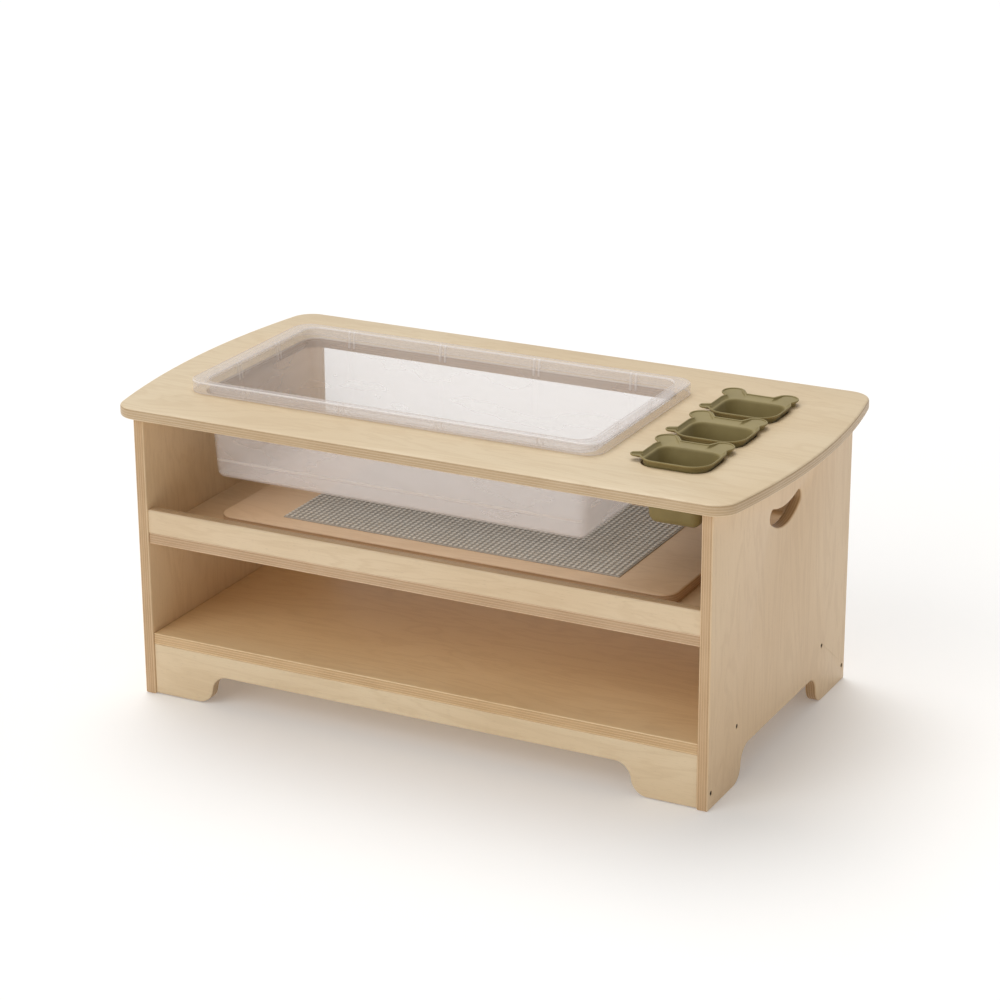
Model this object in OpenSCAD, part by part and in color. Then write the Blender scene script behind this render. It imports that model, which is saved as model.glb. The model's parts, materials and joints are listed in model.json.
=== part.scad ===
// Plywood play table for young children: a low frame with two shelves, a lift-out tub,
// three lift-out cups and a loose cover board that carries two stud plates.
// Millimetres. X runs along the table, Y to the back, Z up. The origin is on the floor
// under the middle of the table.

/* [Frame] */
// Width over the two side panels
frame_w = 860; // [830:10:1100]
// Depth of the side panels
frame_d = 488; // [440:4:640]
// Height of the table's upper face
table_h = 424; // [400:4:560]
// Thickness of every plywood board
ply = 16; // [12:1:20]

/* [Top] */
// How far the top stands out past the side panels at its corners
end_overhang = 21; // [4:1:40]
// How much further the bowed ends stand out in the middle
end_bow = 28; // [10:1:45]
// How far the top stands out in front and behind
long_overhang = 12; // [2:1:30]
// Corner radius of the top
top_corner_r = 34; // [12:1:60]

/* [Shelves] */
// Height of the middle shelf's underside
mid_shelf_z = 226; // [190:1:240]
// Height of the lips that stand on the middle shelf
lip_h = 34; // [20:1:44]
// Radius along a lip's upper edges
lip_edge_r = 4; // [1:0.5:6]
// How far shelves, lips and rails sit back from the panels' edges
shelf_setback = 2.5; // [0:0.5:8]

/* [Feet] */
// Height of the kick rails' upper edge, where the bottom shelf rests
rail_top = 76; // [66:1:90]
// Gap between a kick rail and the floor
rail_lift = 1.5; // [0.5:0.5:4]
// Height of the arches in rails and panels
arch_h = 45; // [25:1:50]
// Length of a rail's foot on the floor, measured from its end
rail_foot = 70; // [50:1:120]
// Length of a panel's foot on the floor, measured from its edge
panel_foot = 86; // [60:1:110]
// Width of each arch's curved flank
flank_w = 48; // [46:1:70]

/* [Grip holes] */
// Distance from the top's underside down to the lowest point of the grip
grip_drop = 94.5; // [80:0.5:120]
// Height of the grip at its middle
grip_h = 27.5; // [20:0.5:36]
// Radius of the grip's lower edge
grip_lower_r = 84; // [70:1:110]
// Radius of the grip's upper edge
grip_upper_r = 127; // [110:1:200]
// Radius of the grip's ends
grip_end_r = 10; // [6:0.5:12]

/* [Tub] */
// Length of the tub's body just under the rim
tub_l = 588; // [480:2:596]
// Width of the tub's body just under the rim
tub_w = 293; // [220:1:300]
// How far the rim stands out past the body at each end
tub_rim_end = 21; // [12:0.5:28]
// How far the rim stands out past the body at each side
tub_rim_side = 11.5; // [8:0.5:20]
// How much narrower the body is at its floor, each side
tub_draft = 8.5; // [2:0.5:14]
// Depth of the tub below the table's upper face
tub_drop = 127; // [70:0.5:130]
// Height of the rim's skirt above the table
tub_skirt_h = 17; // [10:0.5:26]
// Wall thickness of the tub
tub_wall = 2; // [1.6:0.1:3]
// Corner radius of the tub's body
tub_corner_r = 22; // [12:1:50]
// Corner radius of the tub's rim
tub_rim_r = 26; // [16:1:60]
// Distance from the left panel's inner face to the tub's body
tub_inset = 36; // [20:1:50]
// Gap between the tub and its cut-out
tub_clear = 3; // [1:0.5:5]

/* [Cups] */
// Width of a cup's bowl where it passes through the table
cup_bowl_w = 90; // [70:1:108]
// Length of the bowl there
cup_bowl_l = 76; // [60:1:92]
// Corner radius of the bowl
cup_bowl_r = 20; // [14:1:30]
// How much narrower the bowl is at its floor, each side
cup_draft = 10; // [2:0.5:14]
// Depth of the bowl below the table's upper face
cup_drop = 82; // [40:1:96]
// How far the head stands out past the bowl at each cheek
cup_cheek = 6; // [5:0.5:10]
// How far the head stands out past the bowl at the chin
cup_chin = 5.5; // [5:0.5:10]
// How far the head stands out past the bowl at the brow
cup_brow = 11.5; // [5:0.5:16]
// Radius of an ear
cup_ear_r = 17; // [12:0.5:17.5]
// Height of the rim above the table
cup_rim_h = 9; // [5:0.5:16]
// Wall thickness of a cup
cup_wall = 2.2; // [1.6:0.1:3]
// Gap between a cup's bowl and its cut-out
cup_clear = 2; // [1:0.5:2.5]
// Gap between neighbouring heads, where the ears lie
cup_gap = 18; // [18:0.5:30]
// Distance from the right panel's inner face to the cups' middles
cup_inset = 83; // [64:1:90]
// Place of the middle cup across the table
cup_mid_y = -3; // [-14:1:10]

/* [Cover board] */
// Length of the cover board
cover_l = 690; // [600:2:720]
// Depth of the cover board
cover_w = 320; // [300:2:360]
// Corner radius of the cover board
cover_corner_r = 24; // [8:1:60]
// Place of the cover board's middle across the shelf
cover_y = -15; // [-24:1:24]

/* [Stud plates] */
// Studs along each side of a plate
plate_studs = 32; // [16:1:34]
// Distance between neighbouring studs
stud_pitch = 8; // [7.8:0.1:8.4]
// Thickness of the plate's sheet
plate_t = 1.6; // [1.2:0.1:2.4]
// Height of the studs
stud_h = 1.7; // [1.4:0.1:1.9]
// Diameter of a stud
stud_d = 4.9; // [4.4:0.1:5]

/* [Fasteners] */
// Diameter of a dowel
dowel_d = 8; // [6:1:8]
// Length of a dowel
dowel_len = 30; // [24:1:30]
// How deep a dowel goes into a board's face
dowel_face = 10; // [6:1:11]
// Diameter of a screw's shank
screw_d = 4.4; // [3.5:0.1:5]
// Diameter of a screw's head
screw_head_d = 6.6; // [6:0.1:8]
// Height of a screw's head
screw_head_h = 3.5; // [2.5:0.5:5]
// Width across the corners of the hexagon socket in a screw's head
screw_hex_d = 3.4; // [3:0.1:4]
// Depth of that socket
screw_hex_deep = 2; // [1:0.5:2.5]
// How far a screw reaches into a board's end
screw_reach = 32; // [20:1:40]
// Depth of the head below the panel's face
screw_sink = 1; // [0.5:0.5:3]
// Gap round dowels and screws in their holes
fastener_clear = 0.1; // [0.05:0.05:0.3]
// Distance from a shelf's front edge to its outer screw or dowel
shelf_fix_inset = 90.5; // [50:0.5:110]
// Distance from a lip's or rail's end to its outer dowel
long_fix_inset = 116; // [80:1:160]
// Distance from a panel's front edge to the outer dowel in its top
top_fix_inset = 58.5; // [40:0.5:90]
// Height of the screws that hold the kick rails
rail_screw_z = 23; // [12:1:30]

/* [Hidden] */
$fn = 64;
bite = 1;                                  // how far a cutting solid runs past a face
inner_w = frame_w - 2 * ply;
panel_x = frame_w / 2 - ply;               // a panel's inner face
panel_top = table_h - ply;
top_d = frame_d + 2 * long_overhang;
top_corner_x = frame_w / 2 + end_overhang;
shelf_d = frame_d - 2 * shelf_setback;
shelf_y = shelf_d / 2;                     // the shelves' edge
lip_y = shelf_y - ply / 2;                 // middle of a lip's or rail's thickness
mid_shelf_top = mid_shelf_z + ply;
bottom_shelf_top = rail_top + ply;
shelf_fix_y = shelf_y - shelf_fix_inset;
long_fix_x = [-1, -1/3, 1/3, 1] * (inner_w / 2 - long_fix_inset);
top_fix_y = [-1, 0, 1] * (frame_d / 2 - top_fix_inset);
tub_x = tub_inset + tub_l / 2 - panel_x;
tub_rim_l = tub_l + 2 * tub_rim_end;
tub_rim_w = tub_w + 2 * tub_rim_side;
cup_rows = [-1, 0, 1];
cup_x = panel_x - cup_inset;
cup_head_w = cup_bowl_w + 2 * cup_cheek;
cup_head_l = cup_chin + cup_bowl_l + cup_brow;
cup_bowl_y = (cup_chin - cup_brow) / 2;    // the bowl's middle, from the head's middle
cup_pitch = cup_head_l + cup_gap;
cup_head_r = 30;                           // corner radius of the head
cup_crease_r = 12;                         // radius between the head and its ears
cup_waist = 0.95;                          // the head's size at the table, as a share of the rim's
left_ear_in = 8;                           // from the left cheek to the middle of the left ear
right_ear_in = 17;                         // the same on the right
ear_out = 1;                               // from the brow to the ears' middles
tab_out = 4;                               // from the left cheek to the middle of its tab
tab_y = -25;
tab_r = 8;
plate_w = plate_studs * stud_pitch;
cover_top = mid_shelf_top + ply;

// Points of an arc about c, from angle a0 to a1
function arc(c, r, a0, a1, n = 12) =
    [for (i = [0 : n]) let (a = a0 + (a1 - a0) * i / n) [c[0] + r * cos(a), c[1] + r * sin(a)]];

function flip(points) = [for (i = [len(points) - 1 : -1 : 0]) [-points[i][0], points[i][1]]];

// One flank of an arch, an S of two equal arcs from the arch's crown at (crown, h) to the floor
function flank(crown, h) =
    let (a = 2 * atan(h / flank_w), r = flank_w / (2 * sin(a)))
    concat(arc([crown, h - r], r, 90, 90 - a), arc([crown + flank_w, r], r, 270 - a, 270));

// The right half of a board that stands on two feet: half length, height and foot length
function footed_half(half, h, foot, arch) =
    concat(flank(half - foot - flank_w, arch), [[half, 0], [half, h]]);

module rounded_rect(l, w, r) {
    square([l - 2 * r, w], center = true);
    square([l, w - 2 * r], center = true);
    for (x = [-1, 1], y = [-1, 1]) translate([x * (l / 2 - r), y * (w / 2 - r)]) circle(r);
}

// A tapered rounded block whose larger end is at z = 0 and whose smaller end is at -h
module tapered_block(l, w, r, draft, h) {
    mirror([0, 0, 1])
        linear_extrude(height = h, scale = [(l - 2 * draft) / l, (w - 2 * draft) / w], slices = 1)
            rounded_rect(l, w, r);
}

// The right half of the top's outline, from its front edge to its back edge
function top_half() =
    let (b = top_d / 2, r = top_corner_r, s = end_bow,
         big = (b * b + s * s) / (2 * s),
         cx = top_corner_x + s - big,
         a = asin((b - r) / (big - r)),
         fx = cx + (big - r) * cos(a))
    concat(arc([fx, r - b], r, -90, -a, 10), arc([cx, 0], big, -a, a, 32), arc([fx, b - r], r, a, 90, 10));

module footed_board(half, h, foot, arch) {
    right = footed_half(half, h, foot, arch);
    rotate([90, 0, 0]) linear_extrude(height = ply, center = true) polygon(concat(flip(right), right));
}

// Crescent grip: the space between two arcs that both sag, with round ends
module grip_outline() {
    low_c = [0, grip_lower_r];
    high_c = [0, grip_h + grip_upper_r];
    // The round ends touch the lower arc from inside and the upper arc from outside
    d_low = grip_lower_r - grip_end_r;
    d_high = grip_upper_r + grip_end_r;
    gap = high_c[1] - low_c[1];
    ez = (low_c[1] + high_c[1] + (d_low * d_low - d_high * d_high) / gap) / 2;
    ex = sqrt(d_low * d_low - pow(ez - low_c[1], 2));
    a_low = atan2(ez - low_c[1], ex);
    a_high = atan2(ez - high_c[1], ex);
    right = concat(arc(low_c, grip_lower_r, -90, a_low), arc([ex, ez], grip_end_r, a_low, a_high + 180),
        arc(high_c, grip_upper_r, a_high, -90));
    left = [for (p = right) [-p[0], p[1]]];
    polygon([for (i = [0 : len(right) - 1]) right[i]]);
    polygon([for (i = [len(left) - 1 : -1 : 0]) left[i]]);
}

// A dowel or its hole: from z = -face, inside the board's face, to the rest of its length
module dowel(clear = 0) {
    translate([0, 0, -dowel_face]) cylinder(d = dowel_d + 2 * clear, h = dowel_len);
}

// A screw along +X whose head's seat is at the origin
module screw() {
    rotate([0, 90, 0]) difference() {
        union() {
            translate([0, 0, -screw_head_h]) cylinder(d = screw_head_d, h = screw_head_h);
            cylinder(d = screw_d, h = ply - screw_head_h - screw_sink + screw_reach);
        }
        translate([0, 0, -screw_head_h - bite]) cylinder(d = screw_hex_d, h = screw_hex_deep + bite, $fn = 6);
    }
}

// The hole for that screw, through the panel and into the board behind it
module screw_hole() {
    rotate([0, 90, 0]) {
        cylinder(d = screw_d + 2 * fastener_clear, h = ply - screw_head_h - screw_sink + screw_reach);
        translate([0, 0, -screw_head_h - screw_sink - bite])
            cylinder(d = screw_head_d + 2 * fastener_clear, h = screw_head_h + screw_sink + bite);
    }
}

// side is -1 for the left of the table and 1 for the right
module on_side(side) {
    if (side < 0) children();
    else mirror([1, 0, 0]) children();
}

module at_shelf_screws() {
    seat = -frame_w / 2 + screw_head_h + screw_sink;
    for (y = [-shelf_fix_y, shelf_fix_y]) translate([seat, y, rail_top + ply / 2]) children();
}

module at_rail_screws() {
    seat = -frame_w / 2 + screw_head_h + screw_sink;
    for (y = [-lip_y, lip_y]) translate([seat, y, rail_screw_z]) children();
}

module at_shelf_dowels() {
    for (y = [-shelf_fix_y, 0, shelf_fix_y])
        translate([-panel_x, y, mid_shelf_z + ply / 2]) rotate([0, 90, 0]) children();
}

module at_top_dowels() {
    for (y = top_fix_y) translate([-panel_x - ply / 2, y, panel_top]) rotate([180, 0, 0]) children();
}

module at_lip_dowels(front) {
    for (x = long_fix_x) translate([x, front * lip_y, mid_shelf_top]) children();
}

module at_rail_dowels(front) {
    for (x = long_fix_x) translate([x, front * lip_y, rail_top]) rotate([180, 0, 0]) children();
}

module at_cup(row) {
    translate([cup_x, cup_mid_y + row * cup_pitch, table_h]) children();
}

module top() {
    half = top_half();
    color("#e3cda5") difference() {
        translate([0, 0, panel_top]) linear_extrude(height = ply) difference() {
            polygon(concat(half, flip(half)));
            translate([tub_x, 0])
                rounded_rect(tub_l + 2 * tub_clear, tub_w + 2 * tub_clear, tub_corner_r + tub_clear);
            for (row = cup_rows) translate([cup_x, cup_mid_y + row * cup_pitch + cup_bowl_y])
                rounded_rect(cup_bowl_w + 2 * cup_clear, cup_bowl_l + 2 * cup_clear, cup_bowl_r + cup_clear);
        }
        for (side = [-1, 1]) on_side(side) at_top_dowels() dowel(fastener_clear);
    }
}

module side_panel(side) {
    color("#c9ab83") on_side(side) difference() {
        translate([-panel_x - ply / 2, 0, 0]) rotate([0, 0, 90])
            footed_board(frame_d / 2, panel_top, panel_foot, arch_h);
        translate([-frame_w / 2 - bite, 0, panel_top - grip_drop]) rotate([90, 0, 90])
            linear_extrude(height = ply + 2 * bite) grip_outline();
        at_shelf_screws() screw_hole();
        at_rail_screws() screw_hole();
        at_shelf_dowels() dowel(fastener_clear);
        at_top_dowels() dowel(fastener_clear);
    }
}

module shelf(z) {
    translate([-inner_w / 2, -shelf_y, z]) cube([inner_w, shelf_d, ply]);
}

module bottom_shelf() {
    color("#c0a079") difference() {
        shelf(rail_top);
        for (side = [-1, 1]) on_side(side) at_shelf_screws() screw_hole();
        for (front = [-1, 1]) at_rail_dowels(front) dowel(fastener_clear);
    }
}

module middle_shelf() {
    color("#c0a079") difference() {
        shelf(mid_shelf_z);
        for (side = [-1, 1]) on_side(side) at_shelf_dowels() dowel(fastener_clear);
        for (front = [-1, 1]) at_lip_dowels(front) dowel(fastener_clear);
    }
}

module kick_rail(front) {
    color("#cfb48d") difference() {
        translate([0, front * lip_y, rail_lift])
            footed_board(inner_w / 2, rail_top - rail_lift, rail_foot, arch_h - rail_lift);
        for (side = [-1, 1]) on_side(side) at_rail_screws() screw_hole();
        at_rail_dowels(front) dowel(fastener_clear);
    }
}

// A lip is square along its foot and round along its two upper edges
module lip(front) {
    color("#d6bb93") difference() {
        translate([0, front * lip_y, mid_shelf_top]) rotate([90, 0, 90])
            linear_extrude(height = inner_w, center = true) {
                translate([-ply / 2, 0]) square([ply, lip_h - lip_edge_r]);
                translate([lip_edge_r - ply / 2, 0]) square([ply - 2 * lip_edge_r, lip_h]);
                for (y = [-1, 1]) translate([y * (ply / 2 - lip_edge_r), lip_h - lip_edge_r])
                    circle(lip_edge_r);
            }
        at_lip_dowels(front) dowel(fastener_clear);
    }
}

// The tub hangs by its rim: a skirt stands on the table and a flange joins it to the walls
module tub() {
    inner_l = tub_l - 2 * tub_wall;
    inner_w = tub_w - 2 * tub_wall;
    color("#e9e4e2", 0.5) translate([tub_x, 0, table_h]) difference() {
        union() {
            linear_extrude(height = tub_skirt_h) rounded_rect(tub_rim_l, tub_rim_w, tub_rim_r);
            tapered_block(tub_l, tub_w, tub_corner_r, tub_draft, tub_drop);
        }
        // the space between the skirt and the walls, open below
        translate([0, 0, -bite]) linear_extrude(height = tub_skirt_h - tub_wall + bite) difference() {
            rounded_rect(tub_rim_l - 2 * tub_wall, tub_rim_w - 2 * tub_wall, tub_rim_r - tub_wall);
            rounded_rect(tub_l, tub_w, tub_corner_r);
        }
        // the inside
        linear_extrude(height = tub_skirt_h + bite) rounded_rect(inner_l, inner_w, tub_corner_r - tub_wall);
        tapered_block(inner_l, inner_w, tub_corner_r - tub_wall, tub_draft, tub_drop - tub_wall);
    }
}

// Outline of a cup's rim: a head with two ears and a small tab on its left cheek
module cup_outline() {
    offset(r = -cup_crease_r) offset(delta = cup_crease_r) {
        offset(r = cup_head_r) square([cup_head_w, cup_head_l] - 2 * [cup_head_r, cup_head_r], center = true);
        for (x = [left_ear_in - cup_head_w / 2, cup_head_w / 2 - right_ear_in])
            translate([x, cup_head_l / 2 + ear_out]) circle(cup_ear_r, $fn = 32);
        translate([-cup_head_w / 2 - tab_out, tab_y]) circle(tab_r, $fn = 24);
    }
}

module cup_bowl(inward, drop) {
    translate([0, cup_bowl_y, 0]) tapered_block(cup_bowl_w - 2 * inward, cup_bowl_l - 2 * inward,
        cup_bowl_r - inward, cup_draft, drop);
}

// The head flares from the table up to the rim, and the bowl hangs from its floor
module cup(row) {
    color("#9c9663") at_cup(row) difference() {
        union() {
            translate([0, 0, cup_rim_h]) mirror([0, 0, 1])
                linear_extrude(height = cup_rim_h, scale = cup_waist) cup_outline();
            cup_bowl(0, cup_drop);
        }
        translate([0, 0, cup_rim_h + bite]) mirror([0, 0, 1])
            linear_extrude(height = cup_rim_h + bite - cup_wall, scale = cup_waist)
                offset(delta = -cup_wall) cup_outline();
        translate([0, 0, cup_wall]) cup_bowl(cup_wall, cup_drop);
    }
}

module cover_board() {
    color("#b89468") translate([0, cover_y, mid_shelf_top]) linear_extrude(height = ply)
        rounded_rect(cover_l, cover_w, cover_corner_r);
}

// The plain slab on the sheet fills the space of the studs
module stud_plate(side) {
    field = plate_w - stud_pitch + stud_d;
    color("#a3978c") translate([side * plate_w / 2, cover_y, cover_top]) {
        translate([-plate_w / 2, -plate_w / 2, 0]) cube([plate_w, plate_w, plate_t]);
        translate([-field / 2, -field / 2, 0]) cube([field, field, plate_t + stud_h]);
    }
}

module shelf_screws(side) { color("#2f2a26") on_side(side) at_shelf_screws() screw(); }
module rail_screws(side) { color("#2f2a26") on_side(side) at_rail_screws() screw(); }
module shelf_dowels(side) { color("#d9b98a") on_side(side) at_shelf_dowels() dowel(); }
module top_dowels(side) { color("#d9b98a") on_side(side) at_top_dowels() dowel(); }
module lip_dowels(front) { color("#d9b98a") at_lip_dowels(front) dowel(); }
module rail_dowels(front) { color("#d9b98a") at_rail_dowels(front) dowel(); }

top();
side_panel(-1);  // left_panel
side_panel(1);  // right_panel
bottom_shelf();
middle_shelf();
kick_rail(-1);  // front_kick_rail
kick_rail(1);  // back_kick_rail
lip(-1);  // front_lip
lip(1);  // back_lip
tub();
cup(-1);  // cup_front
cup(0);  // cup_middle
cup(1);  // cup_back
cover_board();
stud_plate(-1);  // left_stud_plate
stud_plate(1);  // right_stud_plate
shelf_screws(-1);  // left_shelf_screws
shelf_screws(1);  // right_shelf_screws
rail_screws(-1);  // left_rail_screws
rail_screws(1);  // right_rail_screws
shelf_dowels(-1);  // left_shelf_dowels
shelf_dowels(1);  // right_shelf_dowels
top_dowels(-1);  // left_top_dowels
top_dowels(1);  // right_top_dowels
lip_dowels(-1);  // front_lip_dowels
lip_dowels(1);  // back_lip_dowels
rail_dowels(-1);  // front_rail_dowels
rail_dowels(1);  // back_rail_dowels
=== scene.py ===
"""A child's plywood play table with a clear lift-out tub, three soft cups and a studded cover board."""

import json
import math

import bmesh
import bpy
import numpy as np
from mathutils import Matrix, Vector

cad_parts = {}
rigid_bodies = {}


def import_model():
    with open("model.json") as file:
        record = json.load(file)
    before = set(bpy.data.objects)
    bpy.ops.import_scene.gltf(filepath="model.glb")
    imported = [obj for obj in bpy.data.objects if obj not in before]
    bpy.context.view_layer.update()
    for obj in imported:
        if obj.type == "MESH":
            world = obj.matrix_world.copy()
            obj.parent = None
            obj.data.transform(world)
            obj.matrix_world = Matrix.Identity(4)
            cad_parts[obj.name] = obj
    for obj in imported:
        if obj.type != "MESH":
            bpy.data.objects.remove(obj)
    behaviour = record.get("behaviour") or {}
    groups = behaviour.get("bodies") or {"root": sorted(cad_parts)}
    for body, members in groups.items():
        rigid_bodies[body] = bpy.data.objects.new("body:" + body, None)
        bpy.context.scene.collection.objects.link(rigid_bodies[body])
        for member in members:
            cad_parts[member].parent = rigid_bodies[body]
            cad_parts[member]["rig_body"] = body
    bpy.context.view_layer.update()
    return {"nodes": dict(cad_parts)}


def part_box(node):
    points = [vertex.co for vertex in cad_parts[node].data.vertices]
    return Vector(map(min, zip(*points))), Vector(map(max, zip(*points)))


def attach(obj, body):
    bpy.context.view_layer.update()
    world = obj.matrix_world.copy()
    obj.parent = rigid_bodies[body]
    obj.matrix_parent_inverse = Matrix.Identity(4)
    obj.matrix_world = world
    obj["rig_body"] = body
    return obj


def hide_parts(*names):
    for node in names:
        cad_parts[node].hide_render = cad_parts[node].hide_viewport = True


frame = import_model()

MM = 0.001
VENEERS = 9  # layers in a board, an odd number, so both faces run the same way
EDGE_ROUND = 2.2 * MM  # how much the boards' edges are eased
TOP_ROUND = 3.5 * MM  # the table top's edges are eased a little more
TABLE_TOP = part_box("top")[1].z


# ---------------------------------------------------------------- shader maths

MIX_FACTOR = 0  # the numbers of a Mix node's sockets that carry a factor and colours
MIX_LOW_COLOUR = 6
MIX_HIGH_COLOUR = 7
MIX_COLOUR_OUT = 2


class Value:
    """A node's output that takes arithmetic: each operator adds the Math node that it needs."""

    def __init__(self, finish, socket):
        self.finish = finish
        self.socket = socket

    def math(self, operation, *others):
        inputs = dict(enumerate((self, *others)))
        return self.finish.node("ShaderNodeMath", {"operation": operation}, inputs)

    def __add__(self, other):
        return self.math("ADD", other)

    def __radd__(self, other):
        return self.math("ADD", other)

    def __sub__(self, other):
        return self.math("SUBTRACT", other)

    def __rsub__(self, other):
        return self.finish.node("ShaderNodeMath", {"operation": "SUBTRACT"}, {0: other, 1: self})

    def __mul__(self, other):
        return self.math("MULTIPLY", other)

    def __rmul__(self, other):
        return self.math("MULTIPLY", other)

    def __truediv__(self, other):
        return self.math("DIVIDE", other)

    def __mod__(self, other):
        return self.math("FLOORED_MODULO", other)

    def floor(self):
        return self.math("FLOOR")

    def fraction(self):
        return self.math("FRACT")

    def distance_from(self, other):
        return (self - other).math("ABSOLUTE")

    def clamped(self, low, high):
        return self.math("MAXIMUM", low).math("MINIMUM", high)

    def step(self, low, high):
        """0 below low, 1 above high and a smooth rise between them. low above high gives the reverse."""
        flip = low > high
        rise = self.finish.node(
            "ShaderNodeMapRange",
            {"interpolation_type": "SMOOTHSTEP", "clamp": True},
            {"Value": self, "From Min": min(low, high), "From Max": max(low, high)},
        )
        return 1 - rise if flip else rise


class Finish:
    """A material under construction, with one Principled shader."""

    def __init__(self, name):
        self.material = bpy.data.materials.new(name)
        self.material.use_nodes = True
        self.tree = self.material.node_tree
        self.shader = self.tree.nodes["Principled BSDF"]

    def node(self, kind, settings=None, inputs=None, output=0):
        """Adds a node. settings are its own properties and inputs are values or links for its sockets."""
        made = self.tree.nodes.new(kind)
        for key, value in (settings or {}).items():
            setattr(made, key, value)
        for key, value in (inputs or {}).items():
            self.feed(made.inputs[key], value)
        return Value(self, made.outputs[output])

    def feed(self, socket, value):
        if isinstance(value, Value):
            self.tree.links.new(value.socket, socket)
        elif isinstance(value, tuple) and len(value) == 3 and socket.type == "RGBA":
            socket.default_value = (*value, 1)
        else:
            socket.default_value = value

    def set(self, **sockets):
        """Feeds the shader: words in a socket's name are joined by underscores."""
        for key, value in sockets.items():
            self.feed(self.shader.inputs[key.replace("_", " ")], value)
        return self.material

    def place(self):
        """The point on the piece at rest, in metres, as a vector."""
        return self.node("ShaderNodeTexCoord", output="Object")

    def axes(self, vector):
        split = self.node("ShaderNodeSeparateXYZ", inputs={0: vector})
        return [Value(self, split.socket.node.outputs[i]) for i in range(3)]

    def scaled(self, vector, scale):
        return self.node("ShaderNodeVectorMath", {"operation": "MULTIPLY"}, {0: vector, 1: scale})

    def shifted(self, vector, offset):
        return self.node("ShaderNodeVectorMath", {"operation": "ADD"}, {0: vector, 1: offset})

    def noise(self, vector, scale=1.0, detail=3.0, roughness=0.5, distortion=0.0):
        return self.node(
            "ShaderNodeTexNoise",
            inputs={
                "Vector": vector,
                "Scale": scale,
                "Detail": detail,
                "Roughness": roughness,
                "Distortion": distortion,
            },
        )

    def mix(self, factor, low, high):
        """low where factor is 0 and high where it is 1; both are colours."""
        sockets = {MIX_FACTOR: factor, MIX_LOW_COLOUR: low, MIX_HIGH_COLOUR: high}
        return self.node("ShaderNodeMix", {"data_type": "RGBA"}, sockets, MIX_COLOUR_OUT)

    def bump(self, height, strength, distance):
        sockets = {"Height": height, "Strength": strength, "Distance": distance}
        return self.node("ShaderNodeBump", inputs=sockets)


# ------------------------------------------------------------------- materials

BIRCH_PALE = (0.79, 0.64, 0.43)
BIRCH_MID = (0.735, 0.57, 0.36)
BIRCH_DEEP = (0.60, 0.43, 0.24)
BROWNED = (0.73, 0.64, 0.56)  # inner veneers, from the outer ones' colours
PORE_DARK = (0.62, 0.62, 0.62)
GLUE_DARK = (0.36, 0.27, 0.22)
GAP_BROWN = (0.05, 0.028, 0.014)


def tinted(colour, factors):
    """A colour with each of its channels multiplied."""
    return tuple(channel * factor for channel, factor in zip(colour, factors))


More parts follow.
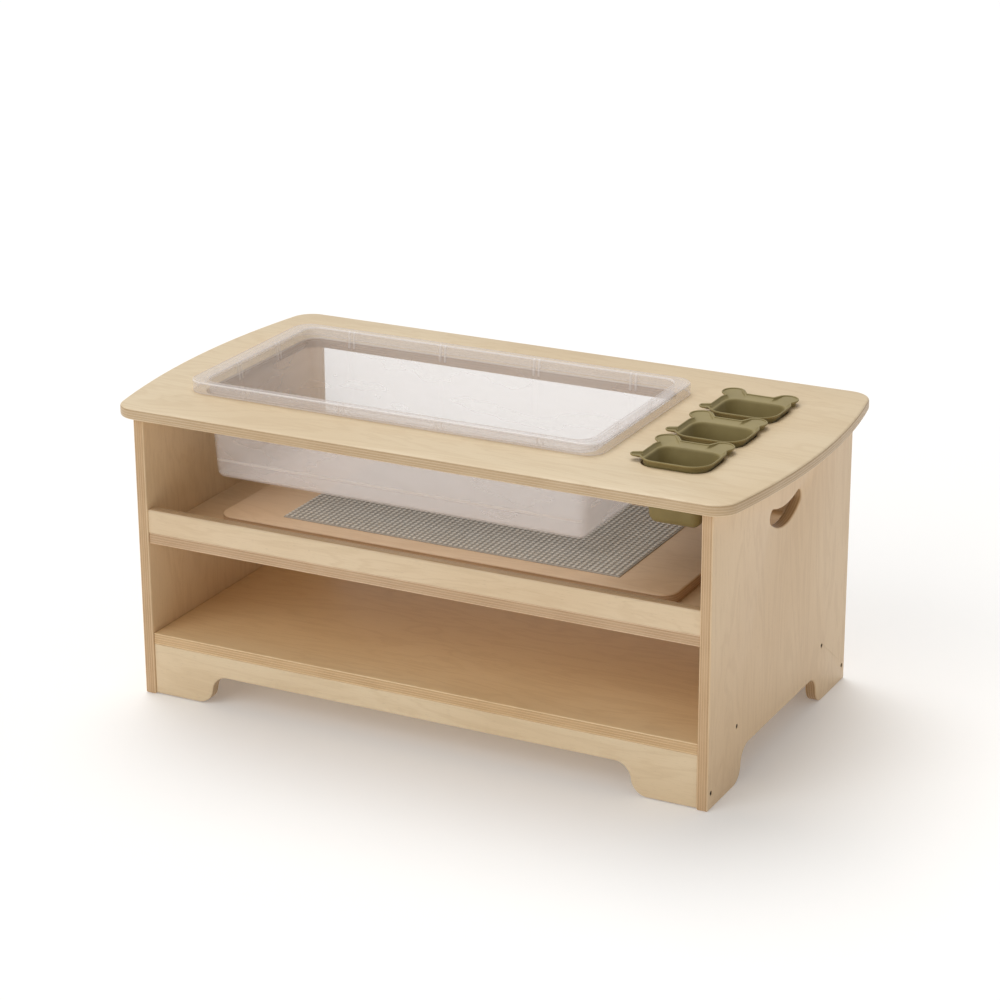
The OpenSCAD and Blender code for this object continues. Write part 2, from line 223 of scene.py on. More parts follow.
def plywood(name, node, thin, grain, painted_light_tint=(1.0, 1.0, 1.0)):
    """Birch plywood as a solid: veneers stacked along one axis, so that a cut edge shows the layers and a
    face shows the outer veneer. thin and grain are axis numbers, and the last argument is a tint of
    painted light and shade that warms, darkens or brightens one board."""
    low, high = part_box(node)
    cross = 3 - thin - grain
    look = Finish(name)
    here = look.place()
    along = look.axes(here)
    wander = look.noise(here, scale=9.0, detail=2.0) - 0.5
    depth = (along[thin] - low[thin]) / ((high[thin] - low[thin]) / VENEERS)
    depth = depth.clamped(0.2, VENEERS - 0.2) + wander * 0.3
    layer = depth.floor()
    crosswise = (layer % 2).step(0.4, 0.6)
    uneven = look.noise(look.scaled(here, (17.0, 19.0, 23.0)), detail=1.0).step(0.25, 0.75)
    glue = depth.fraction().distance_from(0.5).step(0.37, 0.48)
    batch = len(node) * 0.23  # boards come from different sheets
    seam_strength = ((depth + 0.5).floor() * 0.618 + batch).fraction().step(0.15, 0.85)
    layer_shade = (layer * 0.31 + batch).fraction()

    # outer veneer: slow figure, long fibres and short pores that run with the grain
    def stretched(long_scale, cross_scale, seed):
        scale = [0.0, 0.0, 0.0]
        scale[grain], scale[cross], scale[thin] = long_scale, cross_scale, cross_scale
        return look.shifted(look.scaled(here, tuple(scale)), (seed, seed * 1.7, seed * 0.6))

    figure = look.noise(stretched(2.2, 13.0, 3.1), detail=4.0, roughness=0.55, distortion=0.9)
    clouds = look.noise(stretched(2.6, 4.4, 9.4), detail=2.0, roughness=0.5)
    fibre = look.noise(stretched(28.0, 700.0, 1.3), detail=3.0, roughness=0.6)
    pores = look.noise(stretched(90.0, 1500.0, 6.7), detail=1.0).step(0.66, 0.76)
    rings = (figure * 9.0 + wander * 1.5).fraction().distance_from(0.5)
    # painted light and shade: the board's colours are tinted warmer, darker or brighter for the light it
    # gets
    pale, mid, deep = (tinted(colour, painted_light_tint) for colour in (BIRCH_PALE, BIRCH_MID, BIRCH_DEEP))
    face = look.mix(clouds.step(0.30, 0.72), pale, mid)
    face = look.mix(rings.step(0.30, 0.02) * 0.22, face, deep)
    face = look.mix(fibre.step(0.45, 0.75) * 0.22, face, deep)
    face = look.mix(pores * 0.30, face, tinted(deep, PORE_DARK))

    # inner veneers: every second one is cut across its fibres and looks darker and coarser
    specks = look.noise(look.scaled(here, (1300.0,) * 3), detail=2.0)
    end_grain = look.mix(specks.step(0.35, 0.7), tinted(mid, BROWNED), tinted(deep, BROWNED))
    middle = VENEERS / 2  # of the board's thickness, counted in veneers
    inside = depth.distance_from(middle).step(middle - 0.85, middle - 1.15)
    colour = look.mix(inside * 0.42, face, tinted(deep, BROWNED))
    colour = look.mix(crosswise * (0.25 + uneven * 0.35 + layer_shade * 0.40), colour, end_grain)
    seam = glue * (0.12 + uneven * 0.22 + seam_strength * 0.58)
    colour = look.mix(seam, colour, tinted(deep, GLUE_DARK))

    # a few knots were cut out of the inner veneers and left dark gaps
    gaps = look.noise(stretched(7.0, 4.0, 21.0), detail=0.0).step(0.735, 0.745)
    middle_layer = (VENEERS - 1) / 2
    inner = layer.distance_from(middle_layer).step(middle_layer - 0.2, middle_layer - 0.9)
    colour = look.mix(gaps * inner * (1 - crosswise), colour, GAP_BROWN)

    relief = fibre * 0.35 + crosswise * specks * 0.8 - glue * 0.5 - pores * 0.4
    return look.set(
        Base_Color=colour,
        Roughness=0.40 + fibre * 0.10 + crosswise * 0.16,
        Normal=look.bump(relief, 0.25, 0.0004),
        Coat_Weight=0.18,
        Coat_Roughness=0.32,
    )


def frosted_plastic():
    """The tub's translucent plastic: milky, with faint flow marks, less clear where it is thicker, and
    with painted highlights as less clear lines along its rim and edges.
    """
    low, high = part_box("tub")
    look = Finish("frosted_polypropylene")
    here = look.place()
    flow = look.noise(look.scaled(here, (9.0, 9.0, 30.0)), detail=2.0)
    grain = look.noise(look.scaled(here, (600.0,) * 3), detail=2.0)
    colour = look.mix(flow.step(0.3, 0.75), (0.915, 0.855, 0.828), (0.938, 0.884, 0.862))
    x, y, z = look.axes(here)
    x, y = (x - (low.x + high.x) / 2), (y - (low.y + high.y) / 2)
    half = (high - low) / 2
    near_wall = (7 * MM, 5.5 * MM)
    on_long_wall = y.math("ABSOLUTE").distance_from(half.y - TUB_RIM_SIDE - 4 * MM).step(*near_wall)
    on_short_wall = x.math("ABSOLUTE").distance_from(half.x - TUB_RIM_END - 4 * MM).step(*near_wall)
    rib_height = z.step(TABLE_TOP - RIB_DROP, TABLE_TOP - RIB_DROP + 2 * MM)
    long_ribs = (x % RIB_SPACING).distance_from(RIB_SPACING / 2).distance_from(RIB_APART)
    short_ribs = y.math("ABSOLUTE").distance_from(RIB_PAIRS_SHORT[1]).distance_from(RIB_APART)
    rib_width = (1.9 * MM, 0.9 * MM)
    ribs = long_ribs.step(*rib_width) * on_long_wall + short_ribs.step(*rib_width) * on_short_wall
    # the ribs are less clear for their thickness; the ridge and the foot partly for their thickness and
    # partly as painted highlight lines
    ridge = z.distance_from(low.z + TUB_RIDGE_Z).step(2.4 * MM, 1.2 * MM) * on_long_wall
    foot = z.step(low.z + 9 * MM, low.z + 1 * MM)
    rim = z.step(TABLE_TOP - 4 * MM, TABLE_TOP + 4 * MM)
    # painted highlights: less clear lines along the skirt's lower edge and the rim's top edges
    painted_highlight_skirt_edge = z.distance_from(TABLE_TOP + 0.8 * MM).step(1.4 * MM, 0.7 * MM)
    painted_highlight_rim_edges = z.step(high.z - 2.4 * MM, high.z - 1.4 * MM)
    painted_highlight_rim_edges = painted_highlight_rim_edges * z.step(high.z - 0.1 * MM, high.z - 0.4 * MM)
    thickness_and_painted_highlights = ribs * rib_height * 0.22 + ridge * 0.30 + foot * 0.12 - rim * 0.03
    thickness_and_painted_highlights = thickness_and_painted_highlights + painted_highlight_skirt_edge * 0.18 + painted_highlight_rim_edges * 0.42
    return look.set(
        Base_Color=colour,
        Roughness=0.22 + flow * 0.12,
        Alpha=0.26 + flow * 0.04 + thickness_and_painted_highlights,
        Normal=look.bump(grain, 0.02, 0.0003),
        IOR=1.49,
        Specular_IOR_Level=0.6,
    )


def silicone():
    """The cups' soft matte silicone, with fine dust and a slightly uneven colour."""
    look = Finish("olive_silicone")
    here = look.place()
    cloud = look.noise(look.scaled(here, (34.0,) * 3), detail=3.0)
    dust = look.noise(look.scaled(here, (900.0,) * 3), detail=3.0).step(0.58, 0.8)
    colour = look.mix(cloud.step(0.3, 0.7), (0.275, 0.213, 0.076), (0.315, 0.248, 0.094))
    colour = look.mix(dust * 0.10, colour, (0.36, 0.30, 0.17))
    return look.set(
        Base_Color=colour,
        Roughness=0.52 + cloud * 0.16,
        Normal=look.bump(dust + cloud * 1.5, 0.10, 0.0003),
        Sheen_Weight=0.12,
        Sheen_Roughness=0.5,
    )


def stud_plastic():
    """The stud plates' moulded plastic, lightly scuffed, with painted shade darkening the sheet between
    the studs.
    """
    look = Finish("moulded_stud_plastic")
    here = look.place()
    mottle = look.noise(look.scaled(here, (40.0,) * 3), detail=3.0)
    scuff = look.noise(look.scaled(here, (700.0, 240.0, 700.0)), detail=3.0).step(0.58, 0.75)
    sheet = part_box("left_stud_plate")[1].z - STUD_HEIGHT
    # painted shade: the sheet down between the studs is darkened where the studs' shade falls
    between = look.axes(here)[2].step(sheet + 1.1 * MM, sheet + 0.1 * MM)
    colour = look.mix(mottle.step(0.3, 0.7), (0.70, 0.66, 0.59), (0.75, 0.71, 0.64))
    colour = look.mix(scuff * 0.20, colour, (0.82, 0.79, 0.74))
    colour = look.mix(between * 0.85, colour, (0.42, 0.385, 0.345))
    return look.set(
        Base_Color=colour,
        Roughness=0.30 + scuff * 0.25 + mottle * 0.08,
        Normal=look.bump(scuff, 0.08, 0.0002),
        Specular_IOR_Level=0.55,
    )


def black_oxide():
    """The screws' blackened steel, worn brighter in small patches."""
    look = Finish("black_oxide_steel")
    wear = look.noise(look.scaled(look.place(), (900.0,) * 3), detail=4.0).step(0.55, 0.75)
    colour = look.mix(wear, (0.018, 0.015, 0.013), (0.11, 0.10, 0.09))
    worn = look.bump(wear, 0.1, 0.0002)
    return look.set(Base_Color=colour, Metallic=0.85, Roughness=0.38 + wear * 0.2, Normal=worn)


def beech(name, grain):
    """Raw turned beech with short flecks along the dowel."""
    look = Finish(name)
    here = look.place()
    scale = [1100.0] * 3
    scale[grain] = 120.0
    fleck = look.noise(look.scaled(here, tuple(scale)), detail=2.0)
    colour = look.mix(fleck.step(0.4, 0.7), (0.66, 0.49, 0.32), (0.50, 0.34, 0.20))
    fibres = look.bump(fleck, 0.2, 0.0003)
    return look.set(Base_Color=colour, Roughness=0.62 + fleck * 0.15, Normal=fibres)


# ----------------------------------------------------------------- mesh helpers

DRILLED_EDGE = 1.2 * MM  # edges round a small drilled hole are shorter than this
LONG_EDGE = 6.0 * MM
CORNER_TURN = math.radians(40)  # a long edge is eased where its faces turn by more than this
SQUARE_TURN = math.radians(80)  # and a shorter one where they turn by more than this
UPRIGHT_HEIGHT = 25.0 * MM  # a set of dowels that is higher than this stands upright


def new_piece(name, mesh, material, body, replaced=()):
    piece = bpy.data.objects.new(name, mesh)
    bpy.context.scene.collection.objects.link(piece)
    mesh.materials.clear()
    mesh.materials.append(material)
    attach(piece, body)
    if replaced:
        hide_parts(*replaced)
    return piece


def smooth_by_angle(mesh, degrees=35):
    mesh.polygons.foreach_set("use_smooth", [True] * len(mesh.polygons))
    mesh.set_sharp_from_angle(angle=math.radians(degrees))


def eased_board(node, material, radius):
    """The board of a CAD node, with its square edges rounded over."""
    bm = bmesh.new()
    bm.from_mesh(frame["nodes"][node].data)
    bmesh.ops.remove_doubles(bm, verts=bm.verts, dist=0.02 * MM)
    bmesh.ops.dissolve_limit(bm, angle_limit=math.radians(0.15), verts=bm.verts, edges=bm.edges)
    bm.normal_update()
    bmesh.ops.bevel(
        bm,
        geom=[edge for edge in bm.edges if is_square_edge(edge)],
        offset=radius,
        segments=4,
        profile=0.5,
        affect="EDGES",
        clamp_overlap=True,
    )
    mesh = bpy.data.meshes.new(node + "_board")
    bm.to_mesh(mesh)
    bm.free()
    smooth_by_angle(mesh)
    body = frame["nodes"][node]["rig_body"]
    return new_piece(node + "_board", mesh, material, body, [node])


def is_square_edge(edge):
    """Whether an edge of a board is eased. The short edges round a drilled screw hole stay sharp."""
    length = edge.calc_length()
    if not edge.is_manifold or length < DRILLED_EDGE:
        return False
    turn = edge.calc_face_angle()
    return turn > SQUARE_TURN or (turn > CORNER_TURN and length > LONG_EDGE)


BOARDS = {
    # node: (thin axis, grain axis, edge radius, painted light and shade tint)
    "top": (2, 0, TOP_ROUND, (1.0, 1.0, 1.0)),
    # the tints are painted light and shade: warmer and darker on the boards in shade, warmer and brighter
    # on the bottom shelf
    "left_panel": (0, 2, EDGE_ROUND, (0.98, 0.89, 0.80)),
    "right_panel": (0, 2, EDGE_ROUND, (0.99, 0.90, 0.82)),
    "bottom_shelf": (2, 0, EDGE_ROUND * 0.75, (1.10, 1.01, 0.87)),
    "middle_shelf": (2, 0, EDGE_ROUND * 0.75, (0.95, 0.87, 0.84)),
    "front_kick_rail": (1, 0, EDGE_ROUND * 0.75, (0.97, 0.95, 0.93)),
    "back_kick_rail": (1, 0, EDGE_ROUND * 0.75, (0.97, 0.95, 0.93)),
    "front_lip": (1, 0, EDGE_ROUND * 0.5, (0.95, 0.92, 0.91)),
    "back_lip": (1, 0, EDGE_ROUND * 0.5, (0.95, 0.92, 0.91)),
    "cover_board": (2, 0, EDGE_ROUND, (0.98, 0.88, 0.86)),
}


def make_boards():
    for node, (thin, grain, radius, painted_light_tint) in BOARDS.items():
        eased_board(node, plywood("birch_" + node, node, thin, grain, painted_light_tint), radius)


def finish_fasteners():
    steel = black_oxide()
    for node, piece in frame["nodes"].items():
        if node.endswith("_screws"):
            piece.data.materials.clear()
            piece.data.materials.append(steel)
        elif node.endswith("_dowels"):
            low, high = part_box(node)
            upright = high.z - low.z > UPRIGHT_HEIGHT
            piece.data.materials.clear()
            piece.data.materials.append(beech("beech_" + node, 2 if upright else 0))


# ------------------------------------------------------------------ loft helpers


def lofted(name, rings):
    """A closed skin through rings of equal length, with a flat cap at each end."""
    count = len(rings[0])
    points = np.concatenate(rings)
    faces = []
    for i in range(len(rings) - 1):
        for j in range(count):
            k = (j + 1) % count
            faces.append((i * count + j, i * count + k, (i + 1) * count + k, (i + 1) * count + j))
    faces.append(tuple(reversed(range(count))))
    faces.append(tuple(range((len(rings) - 1) * count, len(rings) * count)))
    mesh = bpy.data.meshes.new(name)
    mesh.from_pydata(points.tolist(), [], faces)
    return face_outwards(mesh)


def face_outwards(mesh):
    bm = bmesh.new()
    bm.from_mesh(mesh)
    bmesh.ops.recalc_face_normals(bm, faces=bm.faces)
    bm.to_mesh(mesh)
    bm.free()
    smooth_by_angle(mesh)
    return mesh


def quarter(steps):
    """Pairs (across, up) of a quarter turn: from (0, 0) at its foot to (1, 1), leaving it level."""
    turns = [math.pi / 2 * i / steps for i in range(steps + 1)]
    return [(math.sin(t), 1 - math.cos(t)) for t in turns]


# -------------------------------------------------------------------------- tub

TUB_WALL = 2.0 * MM
TUB_DRAFT = 8.5 * MM  # how much narrower the floor is, each side
TUB_RIM_END = 21.0 * MM  # how far the rim stands out at the ends
TUB_RIM_SIDE = 11.5 * MM  # and at the sides
TUB_BODY_CORNER = 22.0 * MM
TUB_RIM_CORNER = 26.0 * MM
TUB_SKIRT = 17.0 * MM  # height of the rim above the table
TUB_FOOT_ROUND = 9.0 * MM  # radius between floor and walls
RIB_SPACING = 150.0 * MM  # between the pairs of ribs on the long walls
RIB_PAIRS_LONG = [v * RIB_SPACING for v in (-1.5, -0.5, 0.5, 1.5)]
RIB_PAIRS_SHORT = [v * MM for v in (-52, 52)]
RIB_APART = 4.0 * MM  # half the distance between the two ribs of a pair
RIB_REACH = 2.2 * MM  # half the width of a rib at its foot
RIB_HEIGHT = 0.9 * MM  # how far it stands out of the wall
RIB_DROP = 9.0 * MM  # how far below the table top they end
RIDGE_REACH = 225.0 * MM  # half the length of the ridge low on the long walls
RIDGE_HEIGHT = 1.1 * MM  # how far it stands out of the wall
TUB_RIDGE_Z = 28.0 * MM  # how far above the tub's underside it runs


def rib_places(pairs):
    return [pair + side * RIB_APART for pair in pairs for side in (-1, 1)]


def stations(pairs, reach, spacing, extra=()):
    """Places along a straight wall where its rings have points, closer together at the ribs."""
    even = np.arange(-reach, reach + spacing / 2, spacing)
    near = [rib + share * RIB_REACH for rib in rib_places(pairs) for share in (-1, -0.45, 0, 0.45, 1)]
    return np.unique(np.round(np.concatenate([even, near, extra]), 6))


RIDGE_ENDS = [end + side * MM for end in (-RIDGE_REACH, RIDGE_REACH) for side in (-1, 1)]
LONG_STATIONS = stations(RIB_PAIRS_LONG, 258 * MM, 21.5 * MM, RIDGE_ENDS)
SHORT_STATIONS = stations(RIB_PAIRS_SHORT, 108 * MM, 18 * MM)


def rib_rise(place, pairs):
    """How far the wall stands inwards at a place along it."""
    gap = np.min(np.abs(np.asarray(place)[:, None] - np.array(rib_places(pairs))), axis=1)
    return RIB_HEIGHT * np.clip((RIB_REACH - gap) / (0.55 * RIB_REACH), 0, 1)


def tub_ring(half_x, half_y, corner, z, ribs=0.0, ridge=0.0):
    """One level outline round the tub's middle. Its ribs stand inwards and its ridge stands outwards."""
    bend = np.linspace(0, math.pi / 2, 9)
    on_ridge = np.abs(LONG_STATIONS) < RIDGE_REACH
    long_in = rib_rise(LONG_STATIONS, RIB_PAIRS_LONG) * ribs - ridge * on_ridge
    short_in = rib_rise(SHORT_STATIONS, RIB_PAIRS_SHORT) * ribs
    points = []
    for turn in range(4):
        if turn % 2 == 0:
            out, side, places, inward = half_x, half_y, SHORT_STATIONS, short_in
        else:
            out, side, places, inward = half_y, half_x, LONG_STATIONS, long_in
        local = [(out - d, place) for place, d in zip(places, inward)]
        for b in bend:
            local.append((out - corner + corner * math.cos(b), side - corner + corner * math.sin(b)))
        cos, sin = math.cos(turn * math.pi / 2), math.sin(turn * math.pi / 2)
        points += [(cos * x - sin * y, sin * x + cos * y, z) for x, y in local]
    return np.array(points)


def make_tub():
    low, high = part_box("tub")
    middle = (low + high) / 2
    table = high.z - TUB_SKIRT
    rim = (high.x - middle.x, high.y - middle.y)  # half length and half width of the rim
    wall_top = (rim[0] - TUB_RIM_END, rim[1] - TUB_RIM_SIDE)  # and of the walls at the table

    def wall(inset, z, ribs=0.0, ridge=0.0):
        taper = TUB_DRAFT * min(1.0, max(0.0, (table - z) / (table - low.z)))
        shrink = inset + taper
        corner = max(TUB_BODY_CORNER - shrink, 5 * MM)
        return tub_ring(wall_top[0] - shrink, wall_top[1] - shrink, corner, z, ribs, ridge)

    def brim(inset, z):
        return tub_ring(rim[0] - inset, rim[1] - inset, TUB_RIM_CORNER - inset, z)

    # inside, from the round at the floor up to the rim; the ribs stand only near the top
    floor = low.z + TUB_WALL
    inside = []
    for across, up in quarter(6):
        inside.append(wall(TUB_WALL + TUB_FOOT_ROUND * (1 - across), floor + TUB_FOOT_ROUND * up))
    inside += [wall(TUB_WALL, z) for z in (floor + TUB_FOOT_ROUND + 3 * MM, table - RIB_DROP)]
    inside += [wall(TUB_WALL, z, ribs=1.0) for z in (table - RIB_DROP + 2 * MM, table + 4 * MM)]
    # a small step under the rim, where a lid would sit
    inside += [wall(1.1 * MM, table + 5.5 * MM, ribs=1.0), wall(0.9 * MM, high.z - 4 * MM, ribs=1.0)]
    inside += [wall(0.9 * MM, high.z - 2.2 * MM)]
    for across, up in reversed(quarter(4)[:-1]):
        inside.append(wall(-1.5 * MM * (1 - across), high.z - 1.6 * MM * up))
    # over the rim, down its skirt, and back up inside the hollow behind it
    over = [brim(4 * MM, high.z - 0.2 * MM), brim(2.6 * MM, high.z)]
    over += [brim(2.0 * MM * (1 - across), high.z - 2.0 * MM * up) for across, up in quarter(4)]
    over += [brim(0.0, table + 5 * MM), brim(0.0, table + 1.2 * MM), brim(0.5 * MM, table + 0.4 * MM)]
    over += [brim(TUB_WALL, table + 0.4 * MM), brim(TUB_WALL + 0.5 * MM, high.z - 4.5 * MM)]
    over += [brim(TUB_WALL + 2.5 * MM, high.z - 2.4 * MM), wall(-3 * MM, high.z - 2.4 * MM)]
    # outside, down the wall past the ridge and round the foot
    ridge = low.z + TUB_RIDGE_Z
    outside = [wall(-1.2 * MM, high.z - 4.5 * MM), wall(-0.9 * MM, table + 5 * MM)]
    outside += [wall(0.0, z) for z in (table + 3 * MM, table - 6 * MM, ridge + 2.6 * MM)]
    outside += [wall(0.0, ridge + side * 1.2 * MM, ridge=RIDGE_HEIGHT) for side in (1, -1)]
    outside += [wall(0.0, ridge - 2.6 * MM)]
    foot = TUB_FOOT_ROUND + TUB_WALL
    outside += [wall(foot * (1 - across), low.z + foot * up) for across, up in reversed(quarter(6))]
    mesh = lofted("play_tub", inside + over + outside)
    mesh.transform(Matrix.Translation((middle.x, middle.y, 0)))
    new_piece("play_tub", mesh, frosted_plastic(), "lift_tub", ["tub"])


# ------------------------------------------------------------------------- cups

CUP_RIGHT_EAR = 51.0 * MM  # from a cup's middle to the outer side of its right ear
CUP_HEAD = (51.0 * MM, 46.5 * MM)  # half width and half length of the head
CUP_HEAD_CORNER = 30.0 * MM
CUP_BOWL = (45.0 * MM, 38.0 * MM)  # half width and half length of the bowl at the table
CUP_BOWL_CORNER = 20.0 * MM
CUP_BOWL_SHIFT = -3.0 * MM  # the bowl's middle, from the head's
CUP_DRAFT = 10.0 * MM  # how much narrower the bowl is at its floor, each side
CUP_WALL = 2.2 * MM
CUP_ROUND_IN = 9.0 * MM  # radius between the bowl's floor and its walls, inside
CUP_ROUND_OUT = 11.0 * MM  # and outside
CUP_RIM = 9.0 * MM  # height of the rim above the table
CUP_LUGS = [  # middle and radius of the ears and of the tab on the left cheek
    (-43.0 * MM, 47.5 * MM, 17.0 * MM),
    (34.0 * MM, 47.5 * MM, 17.0 * MM),
    (-55.0 * MM, -25.0 * MM, 8.0 * MM),
]
CUP_LIP = [  # round the lip, outwards: inset from the head's outline and drop from the top, in mm
    (2.2, 1.5),
    (2.0, 0.5),
    (1.5, 0.1),
    (0.8, 0.0),
    (0.2, 0.5),
    (0.0, 1.3),
    (0.4, 2.2),
    (1.2, 3.0),
    (2.6, 3.4),
]
CUP_ANGLES = np.linspace(0, 2 * math.pi, 192, endpoint=False)


def box_distance(x, y, half, corner):
    """Signed distance to a rounded rectangle round the origin, below zero inside."""
    dx = np.abs(x) - half[0] + corner
    dy = np.abs(y) - half[1] + corner
    return np.hypot(np.maximum(dx, 0), np.maximum(dy, 0)) + np.minimum(np.maximum(dx, dy), 0) - corner


def joined(a, b, crease):
    """The distance to two shapes together, with a rounded crease where they meet."""
    share = np.clip(0.5 + 0.5 * (b - a) / crease, 0, 1)
    return b + (a - b) * share - crease * share * (1 - share)


def head_distance(x, y):
    shape = box_distance(x, y, CUP_HEAD, CUP_HEAD_CORNER)
    for lug_x, lug_y, radius in CUP_LUGS:
        shape = joined(shape, np.hypot(x - lug_x, y - lug_y) - radius, 5 * MM)
    return shape


def bowl_distance(x, y):
    return box_distance(x, y - CUP_BOWL_SHIFT, CUP_BOWL, CUP_BOWL_CORNER)


def reach(distance, inset=0.0):
    """How far a shape reaches from the origin in each of the cup's directions, less an inset."""
    # the edge lies between near and far, and each round halves the gap
    near = np.full(len(CUP_ANGLES), 8 * MM)
    far = np.full(len(CUP_ANGLES), 130 * MM)
    for _ in range(24):
        middle = (near + far) / 2
        inside = distance(middle * np.cos(CUP_ANGLES), middle * np.sin(CUP_ANGLES)) + inset < 0
        near = np.where(inside, middle, near)
        far = np.where(inside, far, middle)
    return near


def cup_ring(radius, z):
    height = np.broadcast_to(z, radius.shape)
    return np.stack([radius * np.cos(CUP_ANGLES), radius * np.sin(CUP_ANGLES), height], axis=1)


def make_cup(node, material):
    """A soft cup shaped as an animal's head: shallow ears that slope into a deep bowl."""
    low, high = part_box(node)
    middle = Vector((high.x - CUP_RIGHT_EAR, low.y + CUP_HEAD[1], 0))
    table = high.z - CUP_RIM

    def bowl(inset, z):
        return cup_ring(reach(bowl_distance, inset + CUP_DRAFT * (table - z) / (table - low.z)), z)

    def head(inset, z):
        return cup_ring(reach(head_distance, inset), z)

    floor = low.z + CUP_WALL
    mouth = high.z - 5.0 * MM
    rings = []
    for across, up in quarter(5):
        rings.append(bowl(CUP_WALL + CUP_ROUND_IN * (1 - across), floor + CUP_ROUND_IN * up))
    rings += [bowl(CUP_WALL, z) for z in (floor + 30 * MM, table - 20 * MM, mouth - 4 * MM)]
    for across, up in reversed(quarter(4)[:-1]):
        rings.append(bowl(CUP_WALL - 3 * MM * (1 - across), mouth - 3 * MM * up))
    # from the mouth the inside slopes up to the lip, which runs round the ears
    lip_in, lip_z = reach(head_distance, 2.6 * MM), high.z - 1.8 * MM
    bowl_out = reach(bowl_distance, CUP_WALL - 3 * MM)
    for share in (0.2, 0.45, 0.7, 0.88):
        height = mouth + (lip_z - mouth) * share**1.6
        rings.append(cup_ring(bowl_out + (lip_in - bowl_out) * share, height))
    rings += [head(inset * MM, high.z - drop * MM) for inset, drop in CUP_LIP]
    rings += [head(3.8 * MM, table + 3.4 * MM), head(4.4 * MM, table + 0.1 * MM)]
    # under the rim and down the outside of the bowl
    rings += [bowl(-0.6 * MM, table + 0.1 * MM), bowl(0.0, table - 0.6 * MM), bowl(0.0, table - 20 * MM)]
    for across, up in reversed(quarter(5)):
        rings.append(bowl(CUP_ROUND_OUT * (1 - across), low.z + CUP_ROUND_OUT * up))
    mesh = lofted(node + "_shell", rings)
    mesh.transform(Matrix.Translation(middle))
    body = frame["nodes"][node]["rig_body"]
    new_piece(node + "_shell", mesh, material, body, [node])


# ------------------------------------------------------------------ stud plates

STUDS = 32  # along each side of a plate
STUD_PITCH = 8.0 * MM
STUD_RADIUS = 2.45 * MM
STUD_HEIGHT = 1.7 * MM
STUD_SIDES = 14
STUD_EDGE = 0.3 * MM  # how much the top of a stud is eased
SHEET_EDGE = 0.35 * MM


def make_stud_plate(node, material):
    low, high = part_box(node)
    sheet = high.z - STUD_HEIGHT
    levels = [(SHEET_EDGE, low.z), (0.0, low.z + SHEET_EDGE)]
    levels += [(0.0, sheet - SHEET_EDGE), (SHEET_EDGE, sheet)]
    points, faces = [], []
    for inset, z in levels:
        left, right, front, back = low.x + inset, high.x - inset, low.y + inset, high.y - inset
        points += [(left, front, z), (right, front, z), (right, back, z), (left, back, z)]
    for i in range(len(levels) - 1):
        for j in range(4):
            a, b = 4 * i + j, 4 * i + (j + 1) % 4
            faces.append((a, b, b + 4, a + 4))
    faces += [(3, 2, 1, 0), tuple(4 * (len(levels) - 1) + j for j in range(4))]
    turns = [2 * math.pi * i / STUD_SIDES for i in range(STUD_SIDES)]
    profile = [(STUD_RADIUS, sheet - SHEET_EDGE), (STUD_RADIUS, high.z - STUD_EDGE)]
    profile += [(STUD_RADIUS - STUD_EDGE, high.z)]
    for row in range(STUDS):
        for column in range(STUDS):
            x = low.x + (column + 0.5) * STUD_PITCH
            y = low.y + (row + 0.5) * STUD_PITCH
            first = len(points)
            for radius, z in profile:
                points += [(x + radius * math.cos(t), y + radius * math.sin(t), z) for t in turns]
            for level in range(len(profile) - 1):
                for i in range(STUD_SIDES):
                    a = first + level * STUD_SIDES + i
                    b = first + level * STUD_SIDES + (i + 1) % STUD_SIDES
                    faces.append((a, b, b + STUD_SIDES, a + STUD_SIDES))
            faces.append(tuple(first + (len(profile) - 1) * STUD_SIDES + i for i in range(STUD_SIDES)))
    mesh = bpy.data.meshes.new(node + "_studded")
    mesh.from_pydata(points, [], faces)
    smooth_by_angle(mesh)
    body = frame["nodes"][node]["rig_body"]
    new_piece(node + "_studded", mesh, material, body, [node])


# ----------------------------------------------------------------------- stage

CAMERA_PLACE = (1.7542, -3.3924, 1.6645)
CAMERA_TURN = (27.25, 19.95, -0.26)  # to the left, downwards and rolled, in degrees
CAMERA_LENS = 105.65
PAPER_REACH = 40.0  # half the side of the paper floor, in metres
SUNS = {
    # name: (where it shines from, strength, how wide it is in degrees)
    "key": ((-0.8, 0.85, 2.4), 1.55, 42),
    "front_fill": ((-0.8, -2.0, 1.35), 0.85, 50),
}


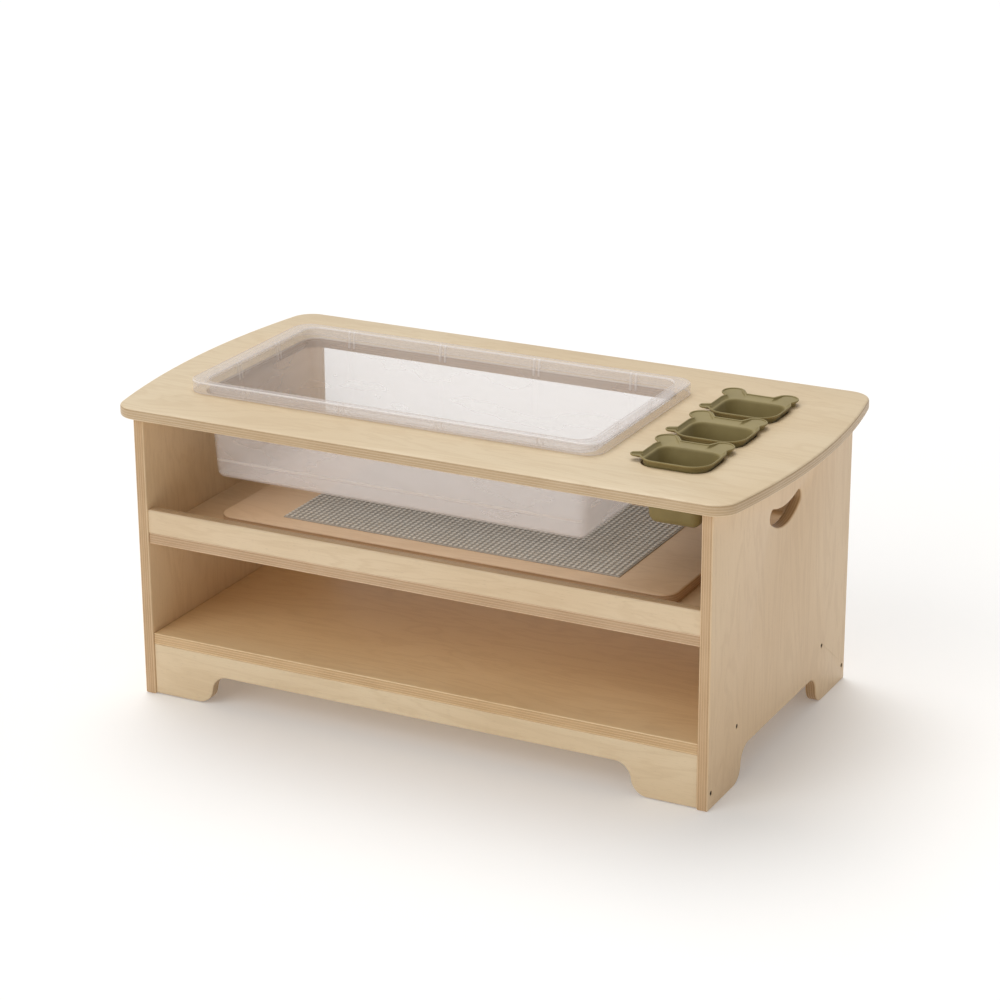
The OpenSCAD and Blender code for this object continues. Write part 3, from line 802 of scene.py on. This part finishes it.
def make_camera():
    camera = bpy.data.cameras.new("camera")
    camera.sensor_width = 36.0
    camera.lens = CAMERA_LENS
    camera.clip_end = 30.0
    holder = bpy.data.objects.new("camera", camera)
    bpy.context.scene.collection.objects.link(holder)
    yaw, pitch, roll = (math.radians(v) for v in CAMERA_TURN)
    ahead = Vector((-math.sin(yaw) * math.cos(pitch), math.cos(yaw) * math.cos(pitch), -math.sin(pitch)))
    level = Vector((math.cos(yaw), math.sin(yaw), 0.0))
    above = level.cross(ahead)
    right = math.cos(roll) * level + math.sin(roll) * above
    up = -math.sin(roll) * level + math.cos(roll) * above
    turn = Matrix((right, up, -ahead)).transposed().to_4x4()
    holder.matrix_world = Matrix.Translation(CAMERA_PLACE) @ turn
    bpy.context.scene.camera = holder


def broad_sun(name, place, strength, spread):
    """A far lamp as wide as a window, shining from a place towards the middle of the table."""
    data = bpy.data.lights.new(name, "SUN")
    data.energy = strength
    data.angle = math.radians(spread)
    holder = bpy.data.objects.new(name, data)
    bpy.context.scene.collection.objects.link(holder)
    holder.location = place
    holder.rotation_euler = (-Vector(place)).to_track_quat("-Z", "Y").to_euler()


def make_studio():
    floor = bpy.data.meshes.new("studio_floor")
    corners = [(x * PAPER_REACH, y * PAPER_REACH, 0) for x, y in ((-1, -1), (1, -1), (1, 1), (-1, 1))]
    floor.from_pydata(corners, [], [(0, 1, 2, 3)])
    paper = Finish("studio_paper")
    paper.set(Base_Color=(0.93, 0.92, 0.905), Roughness=0.9, Specular_IOR_Level=0.1)
    paper.set(Emission_Color=(1.0, 1.0, 1.0), Emission_Strength=0.13)
    floor.materials.append(paper.material)
    holder = bpy.data.objects.new("studio_floor", floor)
    bpy.context.scene.collection.objects.link(holder)
    world = bpy.data.worlds.new("studio")
    world.use_nodes = True
    sky = world.node_tree.nodes["Background"]
    sky.inputs["Color"].default_value = (1.0, 0.995, 0.985, 1.0)
    sky.inputs["Strength"].default_value = 0.40
    bpy.context.scene.world = world
    for name, (place, strength, spread) in SUNS.items():
        broad_sun(name, place, strength, spread)
    bpy.context.scene.view_settings.view_transform = "Standard"


make_camera()
make_studio()
make_boards()
make_tub()
cup_material = silicone()
for cup_node in ("cup_front", "cup_middle", "cup_back"):
    make_cup(cup_node, cup_material)
plate_material = stud_plastic()
for plate_node in ("left_stud_plate", "right_stud_plate"):
    make_stud_plate(plate_node, plate_material)
finish_fasteners()
